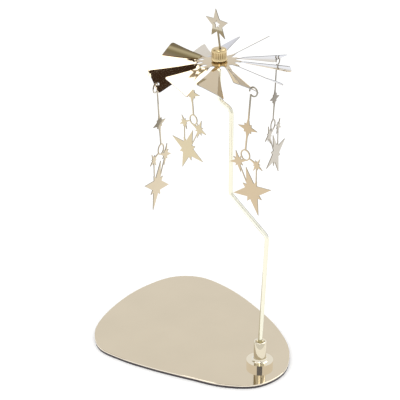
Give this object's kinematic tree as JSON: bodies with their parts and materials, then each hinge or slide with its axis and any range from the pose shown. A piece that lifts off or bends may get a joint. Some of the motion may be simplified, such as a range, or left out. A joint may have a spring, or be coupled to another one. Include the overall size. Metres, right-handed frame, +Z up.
{
  "type": "tea light carousel",
  "caption": "Tea light carousel: a pebble-shaped tray, a cranked wire post and a bladed fan on a needle that carries hanging star plates and a star on top.",
  "frame": {"origin": "on the fan's upright axis, on the underside of the felt pad, which is the face that the object stands on", "axes": "+Z up along the fan's axis, -Y towards the side the picture was taken from, +X to the right in the picture, the side of the tray that carries the post"},
  "size_m": [0.154, 0.1757, 0.2776],
  "materials": {
    "champagne_plate": "polished, pale champagne gold plating on steel",
    "champagne_sheet": "polished, pale champagne gold plating on thin steel sheet",
    "champagne_turned": "polished, pale champagne gold plating on turned steel",
    "pale_gold_wire": "polished, pale gold plating on steel wire",
    "gold_turned": "polished brass",
    "steel": "bright plain steel",
    "felt": "dark felt"
  },
  "bodies": {
    "base": {"tray": "champagne_plate", "tray_pad": "felt", "post_socket": "champagne_turned", "socket_washer": "steel", "socket_screw": "steel"},
    "post_assembly": {"post": "pale_gold_wire", "pivot_needle": "steel"},
    "rotor": {"hub": "gold_turned", "pivot_cup": "steel", "fan": "champagne_sheet", "fan_retaining_ring": "gold_turned", "star_finial": "champagne_sheet"},
    "left_plate": {"pendant_left": "champagne_sheet"},
    "back_plate": {"pendant_back": "champagne_sheet"},
    "right_plate": {"pendant_right": "champagne_sheet"},
    "front_plate": {"pendant_front": "champagne_sheet"}
  },
  "joints": [
    {"name": "post_swivel", "type": "hinge", "parent": "base", "child": "post_assembly", "pos_m": [0.03234, -0.02198, 0.0234], "axis": [0, 0, 1], "continuous": true},
    {"name": "rotor_spin", "type": "hinge", "parent": "post_assembly", "child": "rotor", "pos_m": [0, 0, 0.244], "axis": [0, 0, 1], "continuous": true},
    {"name": "left_plate_swing", "type": "hinge", "parent": "rotor", "child": "left_plate", "pos_m": [-0.04277, -0.02065, 0.22934], "axis": [-0.8805, 0.4741, 0], "range_deg": [-15, 35]},
    {"name": "back_plate_swing", "type": "hinge", "parent": "rotor", "child": "back_plate", "pos_m": [-0.02071, 0.04301, 0.22887], "axis": [0.7242, 0.6896, 0], "range_deg": [-15, 35]},
    {"name": "right_plate_swing", "type": "hinge", "parent": "rotor", "child": "right_plate", "pos_m": [0.04198, 0.02421, 0.23262], "axis": [0.8949, -0.4462, 0], "range_deg": [-15, 35]},
    {"name": "front_plate_swing", "type": "hinge", "parent": "rotor", "child": "front_plate", "pos_m": [0.0206, -0.04356, 0.23482], "axis": [-0.6613, -0.7501, 0], "range_deg": [-15, 35]}
  ]
}
